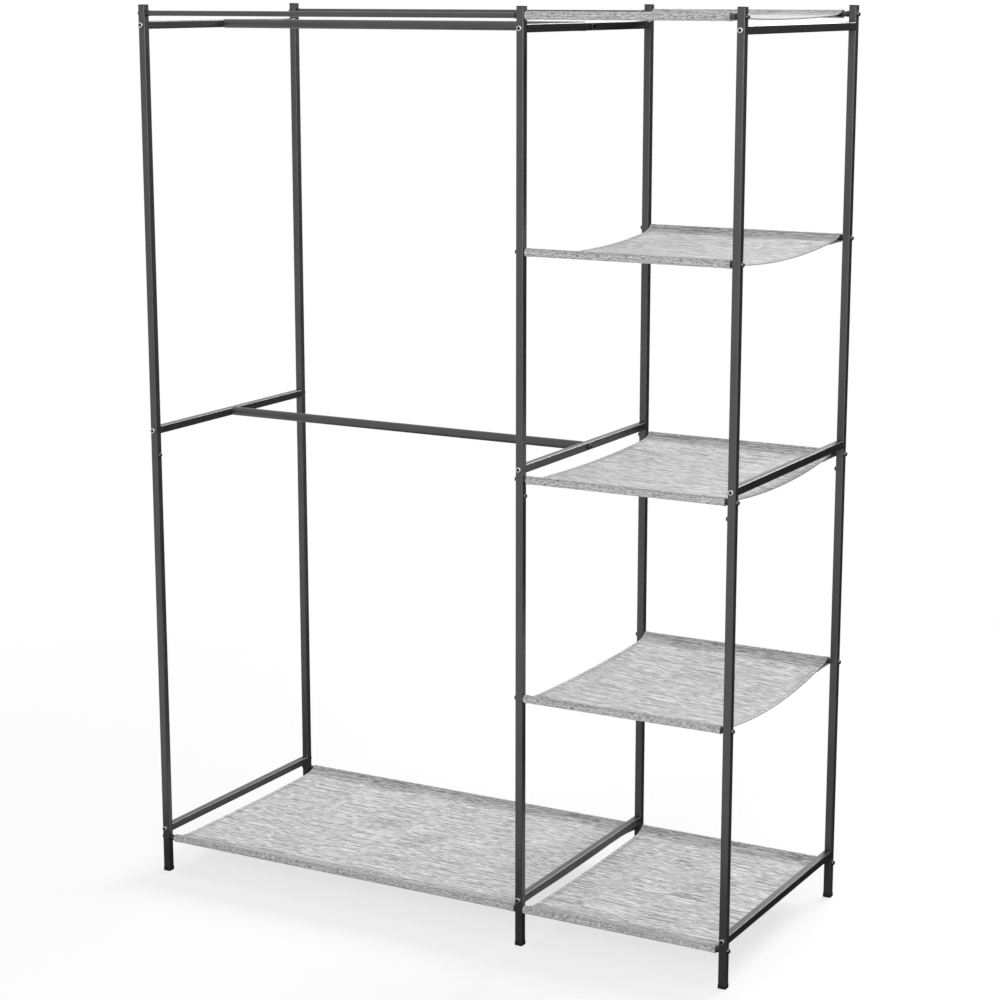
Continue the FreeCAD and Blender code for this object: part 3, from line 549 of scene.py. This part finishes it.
def sew_sling(name, cloth, surface, material, seed):
    """The cloth of a sling: its middle surface moved half a thickness to both sides along the normals.

    Its UV map is the flat cloth in metres. Its marks say how much shade is painted at a place, by bell curves
    about the edge and the end of the fold and over each hem, and whether the place is round a rod.
    """
    points, normals, x, inset, thickness = surface
    rows, columns = points.shape[:2]
    from_edge = np.minimum(np.arange(rows), np.arange(rows)[::-1])
    half = normals * thickness[None, :, None] / 2
    both = np.concatenate([(points + half).reshape(-1, 3), (points - half).reshape(-1, 3)])
    faces = sheet_faces(rows, columns)
    piece = new_piece(name, both, faces.tolist(), material)
    mesh = piece.data
    step = np.linalg.norm(np.diff(points[:, columns // 2], axis=0), axis=1)
    length = np.concatenate([[0], np.cumsum(step)])
    along = x[None, :] + YARN_SHIFT[0] * seed
    across = length[:, None] + YARN_SHIFT[1] * seed
    yarn = np.stack(np.broadcast_arrays(along, across), axis=2)
    yarn = np.tile(yarn.reshape(-1, 2), (2, 1))
    corner = np.empty(len(mesh.loops), dtype=np.int32)
    mesh.loops.foreach_get("vertex_index", corner)
    mesh.uv_layers.new(name="cloth").data.foreach_set("uv", yarn[corner].ravel())
    marks = {
        # Painted shade: dark at each side's very edge and at the end of its fold, and a grey over the whole
        # of each hem
        "rim": RIM_PAINTED_SHADE * np.exp(-(inset / RIM_WIDTH) ** 2),
        "fold_end_painted_shade": FOLD_PAINTED_SHADE * np.exp(-((inset - cloth.edge_fold) / FOLD_WIDTH) ** 2),
        "painted_hem_shade": np.where(from_edge < HEM_ROWS, 1.0, 0.0)[:, None],
        "sleeve": np.where(np.abs(from_edge - SLEEVE_ROW) < LOOP_ROWS / 2, 1.0, 0.0)[:, None],
    }
    for mark, strength in marks.items():
        values = np.tile(np.broadcast_to(strength, (rows, columns)).reshape(-1), 2)
        mesh.attributes.new(mark, "FLOAT", "POINT").data.foreach_set("value", values)
    mesh.polygons.foreach_set("use_smooth", [True] * len(mesh.polygons))
    mesh.set_sharp_from_angle(angle=SHARP)
    return piece


def stitch_lines(cloth, surface):
    """Paths of a sling's seams: points, outward normals and half the thickness there.

    A seam along each folded side, near the fold's inner edge, shows above and below. One along each hem
    shows on the cloth over the flap, and under the flap, and ends a little short of the sides.
    """
    points, normals, x, inset, thickness = surface
    rows, columns = points.shape[:2]
    y = points[:, columns // 2, 1]
    flap = FLAP_ROWS // 2
    over = FLAP_ROWS + int(np.argmin(np.abs(y[FLAP_ROWS:rows // 2] - y[flap])))
    side = int(np.argmin(np.abs(inset[:columns // 2] - cloth.edge_fold + FOLD_SEAM)))
    web = slice(over, rows - over)
    inside = slice(2, columns - 2)
    lines = []
    for column in (side, columns - 1 - side):
        for face in (1, -1):
            lines.append((points[web, column], face * normals[web, column], thickness[column] / 2))
    for near in (over, flap):
        for row in (near, rows - 1 - near):
            lines.append((points[row, inside], normals[row, inside], thickness[columns // 2] / 2))
    return lines


def stitch_points(cloth, surface):
    """Centres, directions and outward normals of a sling's stitches, evenly spaced along its seams."""
    centres, ways, ups = [], [], []
    for path, up, lift in stitch_lines(cloth, surface):
        step = np.linalg.norm(np.diff(path, axis=0), axis=1)
        length = np.concatenate([[0], np.cumsum(step)])
        at = np.arange(cloth.stitch_pitch / 2, length[-1], cloth.stitch_pitch)
        raised = path + up * lift
        spots = np.stack([np.interp(at, length, raised[:, axis]) for axis in range(3)], axis=1)
        way = np.gradient(spots, axis=0)
        centres.append(spots)
        ways.append(way / np.linalg.norm(way, axis=1, keepdims=True))
        ups.append(np.stack([np.interp(at, length, up[:, axis]) for axis in range(3)], axis=1))
    return np.concatenate(centres), np.concatenate(ways), np.concatenate(ups)


def stitch_sling(name, cloth, surface, material):
    """The stitches of a sling: a small spindle at each place, half sunk in the cloth.

    A spindle is two rings and two tips along the seam, and its ring is cos and sin of equal turns.
    """
    centres, ways, ups = stitch_points(cloth, surface)
    sides = np.cross(ways, ups)
    sides /= np.linalg.norm(sides, axis=1, keepdims=True)
    turn = np.arange(SPINDLE_SIDES) * 2 * math.pi / SPINDLE_SIDES
    ring = np.stack([0 * turn, np.cos(turn), np.sin(turn)], axis=1)
    tip = np.array([[1, 0, 0]])
    spindle = np.concatenate([-tip, ring - SPINDLE_SHOULDER * tip, ring + SPINDLE_SHOULDER * tip, tip])
    spindle = spindle * np.array([cloth.stitch, cloth.thread, cloth.thread * THREAD_FLAT]) / 2
    axes = np.stack([ways, sides, ups], axis=1)
    points = centres[:, None, :] + np.einsum("pk,nkc->npc", spindle, axes)
    first, second, last = 1, 1 + SPINDLE_SIDES, 1 + 2 * SPINDLE_SIDES
    faces = []
    for place in range(SPINDLE_SIDES):
        following = (place + 1) % SPINDLE_SIDES
        faces.append([0, first + following, first + place])
        faces.append([last, second + place, second + following])
        faces.append([first + place, first + following, second + following, second + place])
    starts = np.arange(len(centres)) * len(spindle)
    all_faces = [[start + corner for corner in face] for start in starts.tolist() for face in faces]
    piece = new_piece(name, points.reshape(-1, 3), all_faces, material)
    piece.data.polygons.foreach_set("use_smooth", [True] * len(piece.data.polygons))
    return piece


class WARDROBE_OT_coat_frame(Operator):
    """Powder coats the uprights and side rails"""
    bl_idname = "wardrobe.coat_frame"
    bl_label = "Coat frame"

    def execute(self, context):
        finishes = context.scene.wardrobe_finishes
        coat = powder_coat("Powder coat, satin black", finishes.coat, finishes.coat_worn,
                           roughness=0.32, shine=0.75)
        paint_slot("frame_tube", coat)
        # A darker, less shiny copy of the frame's coat: painted shade on the side rails
        shaded_rail_coat = powder_coat("Powder coat, side rails", finishes.rail_coat_shaded, finishes.rail_coat_shaded_paler,
                              roughness=0.32, shine=0.6)
        for name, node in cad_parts.items():
            if name.startswith("side_rail_") and not name.endswith(("_inserts", "_screws")):
                node.material_slots[0].material = shaded_rail_coat
        return {"FINISHED"}


class WARDROBE_OT_coat_rods(Operator):
    """Powder coats the cross rods and hanging rails"""
    bl_idname = "wardrobe.coat_rods"
    bl_label = "Coat rods and rails"

    def execute(self, context):
        finishes = context.scene.wardrobe_finishes
        coat = powder_coat("Powder coat, rods and hanging rails", finishes.coat, finishes.coat_worn,
                           roughness=0.34, shine=0.75)
        paint_slot("cross_rod", coat)
        paint_slot("hanging_rail", coat)
        return {"FINISHED"}


class WARDROBE_OT_mould_fittings(Operator):
    """Gives feet, top caps and rod end plugs their moulded plastic"""
    bl_idname = "wardrobe.mould_fittings"
    bl_label = "Mould fittings"

    def execute(self, context):
        finishes = context.scene.wardrobe_finishes
        caps = moulded_plastic("Polypropylene, moulded black", finishes, grain=1.1 * MM, gloss=0.46)
        paint_slot("moulded_cap", caps)
        plugs = moulded_plastic("Nylon, moulded black", finishes, grain=0.8 * MM, gloss=0.38)
        paint_slot("rod_plug", plugs)
        return {"FINISHED"}


class WARDROBE_OT_plate_fasteners(Operator):
    """Plates the screws, inserts, joiners and studs"""
    bl_idname = "wardrobe.plate_fasteners"
    bl_label = "Plate fasteners"

    def execute(self, context):
        finishes = context.scene.wardrobe_finishes
        # Colour of the painted shade in the screws' sockets and other recesses
        socket = finishes.socket
        black = plated_steel("Steel, blackened", finishes.rod_screw, socket, roughness=0.2, grain=3 * MM)
        paint_slot("screw_steel", black)
        zinc = plated_steel("Steel, zinc plated", finishes.zinc, socket, roughness=0.35, grain=5 * MM)
        paint_slot("zinc_steel", zinc)
        bright = plated_steel("Steel, nickel plated", finishes.rail_screw, socket,
                              roughness=0.3, grain=3 * MM)
        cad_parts["side_rail_screws"].material_slots[0].material = bright
        return {"FINISHED"}


class WARDROBE_OT_sew_slings(Operator):
    """Sews the cloth slings round their rods and stitches their hems"""
    bl_idname = "wardrobe.sew_slings"
    bl_label = "Sew slings"

    def execute(self, context):
        cloth = context.scene.wardrobe_cloth
        fabric = heather_cloth(cloth)
        thread = sewing_thread(cloth)
        for seed, (bay, level) in enumerate(SLINGS):
            node = f"{bay}_sling_{level}"
            low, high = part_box(node)
            places = (rod_axis(bay, level, "front"), rod_axis(bay, level, "rear"), low.x, high.x)
            sags = (cloth.left_sags[seed], cloth.right_sags[seed])
            surface = sling_surface(cloth, places, sags, seed)
            piece = sew_sling(f"{node}_cloth", cloth, surface, fabric, seed)
            stitches = stitch_sling(f"{node}_stitching", cloth, surface, thread)
            for made in (piece, stitches):
                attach(made, "root")
            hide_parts(node)
        return {"FINISHED"}


def studio_floor(stage):
    """Matt white floor: lit near the wardrobe, so that it keeps the shadow, and plain white further off."""
    material, tree, surface = new_material("Studio floor, matt white")
    place = add_node(tree, "TexCoord").outputs["Object"]
    away = add_node(tree, "VectorMath", {0: place}, operation="LENGTH").outputs["Value"]
    ring = {"Value": away, "From Min": stage.floor_near, "From Max": stage.floor_far,
            "To Min": 1 - stage.floor_shade, "To Max": 1.0}
    far = add_node(tree, "MapRange", ring, interpolation_type="SMOOTHSTEP").outputs["Result"]
    seen = add_node(tree, "Math", {0: far, 1: seen_rays(tree)}, operation="MULTIPLY").outputs["Value"]
    lit = add_node(tree, "BsdfDiffuse", {"Color": stage.floor_colour}).outputs["BSDF"]
    white = add_node(tree, "Emission", {"Color": stage.surround, "Strength": 1.0}).outputs["Emission"]
    mixed = add_node(tree, "MixShader", {0: seen, 1: lit, 2: white})
    tree.links.new(mixed.outputs["Shader"], surface)
    return material


def seen_rays(tree):
    """1 for the rays that show the background: straight to the camera, in a reflection or through glass."""
    path = add_node(tree, "LightPath").outputs
    seen = path["Is Camera Ray"]
    for ray in ("Is Glossy Ray", "Is Transmission Ray"):
        seen = add_node(tree, "Math", {0: seen, 1: path[ray]}, operation="MAXIMUM").outputs["Value"]
    return seen


def studio_world(stage):
    """White behind everything, and a plain even light from all round at the ambient strength."""
    world = bpy.data.worlds.new("Studio")
    world.use_nodes = True
    tree = world.node_tree
    tree.nodes.clear()
    lit = add_node(tree, "Background", {"Color": stage.surround, "Strength": stage.ambient}).outputs[0]
    white = add_node(tree, "Background", {"Color": stage.surround, "Strength": 1.0}).outputs[0]
    mixed = add_node(tree, "MixShader", {0: seen_rays(tree), 1: lit, 2: white})
    add_node(tree, "OutputWorld", {"Surface": mixed.outputs["Shader"]})
    bpy.context.scene.world = world


def softbox(name, place, target, width, height, power):
    """A rectangular lamp that faces a target."""
    lamp = bpy.data.lights.new(name, "AREA")
    lamp.shape = "RECTANGLE"
    lamp.size = width
    lamp.size_y = height
    lamp.energy = power
    made = bpy.data.objects.new(name, lamp)
    made.location = place
    made.rotation_euler = (Vector(target) - Vector(place)).to_track_quat("-Z", "Y").to_euler()
    made.visible_camera = False
    bpy.context.scene.collection.objects.link(made)


def dark_flag(stage):
    """Black felt that shows in reflections alone, as a studio's flag does, and turns the tubes' sides dark.

    It lies on the floor under the wardrobe and behind it on the right, and hangs up from a line there.
    """
    material, tree, surface = new_material("Studio flag, black felt")
    felt = add_node(tree, "BsdfDiffuse", {"Color": stage.flag_colour})
    tree.links.new(felt.outputs["BSDF"], surface)
    lying = [(x, y, FLAG_LIFT) for x, y in FLAG_NEAR + FLAG_FOLD]
    hung = [(x, y, FLAG_TOP) for x, y in FLAG_FOLD]
    faces = [[0, 1, 2, 3, 4], [3, 5, 6, 4]]
    flag = new_piece("studio_flag", np.array(lying + hung), faces, material)
    flag.visible_camera = False
    flag.visible_diffuse = False
    flag.visible_shadow = False
    flag.visible_transmission = False


class WARDROBE_OT_set_stage(Operator):
    """Sets the floor, the softboxes, the dark flag, the white surround and the camera"""
    bl_idname = "wardrobe.set_stage"
    bl_label = "Set stage"

    def execute(self, context):
        stage = context.scene.wardrobe_stage
        ends = np.array([-FLOOR_REACH, FLOOR_REACH])
        corners = np.stack(np.meshgrid(ends, ends), axis=-1).reshape(-1, 2)
        points = np.concatenate([corners, np.zeros((4, 1))], axis=1)
        floor = new_piece("studio_floor", points, [[0, 1, 3, 2]], studio_floor(stage))
        studio_world(stage)
        powers = {"back": stage.back_power, "front": stage.front_power, "top": stage.top_power}
        for side, (place, target, width, height) in SOFTBOXES.items():
            softbox(f"{side}_softbox", place, target, width, height, powers[side])
        dark_flag(stage)
        camera = bpy.data.cameras.new("camera")
        camera.lens = stage.lens
        view = bpy.data.objects.new("camera", camera)
        view.location = stage.camera_place
        view.rotation_euler = (math.pi / 2 - stage.camera_dip, 0, stage.camera_turn)
        context.scene.collection.objects.link(view)
        context.scene.camera = view
        context.scene.view_settings.view_transform = "Standard"
        return {"FINISHED"}


class WARDROBE_PT_panel(Panel):
    """Lists the wardrobe's steps and settings"""
    bl_idname = "WARDROBE_PT_panel"
    bl_label = "Open frame wardrobe"
    bl_space_type = "VIEW_3D"
    bl_region_type = "UI"
    bl_category = "Wardrobe"

    def draw(self, context):
        for step in STEPS:
            self.layout.operator(step.bl_idname)
        for settings in SETTINGS:
            group = getattr(context.scene, settings)
            box = self.layout.box()
            for name in group.bl_rna.properties.keys():
                if name not in ("rna_type", "name"):
                    box.prop(group, name)


SETTINGS = {
    "wardrobe_finishes": WardrobeFinishes,
    "wardrobe_cloth": WardrobeCloth,
    "wardrobe_stage": WardrobeStage,
}
STEPS = [
    WARDROBE_OT_coat_frame,
    WARDROBE_OT_coat_rods,
    WARDROBE_OT_mould_fittings,
    WARDROBE_OT_plate_fasteners,
    WARDROBE_OT_sew_slings,
    WARDROBE_OT_set_stage,
]


def register():
    """Registers the settings, the steps and the panel."""
    for made in [*SETTINGS.values(), *STEPS, WARDROBE_PT_panel]:
        bpy.utils.register_class(made)
    for name, group in SETTINGS.items():
        setattr(bpy.types.Scene, name, PointerProperty(type=group))


def unregister():
    """Takes the settings, the steps and the panel away again."""
    for name in SETTINGS:
        delattr(bpy.types.Scene, name)
    for made in [WARDROBE_PT_panel, *reversed(STEPS), *reversed(SETTINGS.values())]:
        bpy.utils.unregister_class(made)


def main():
    """Runs the steps in order."""
    register()
    bpy.ops.wardrobe.coat_frame()
    bpy.ops.wardrobe.coat_rods()
    bpy.ops.wardrobe.mould_fittings()
    bpy.ops.wardrobe.plate_fasteners()
    bpy.ops.wardrobe.sew_slings()
    bpy.ops.wardrobe.set_stage()


if __name__ == "__main__":
    main()
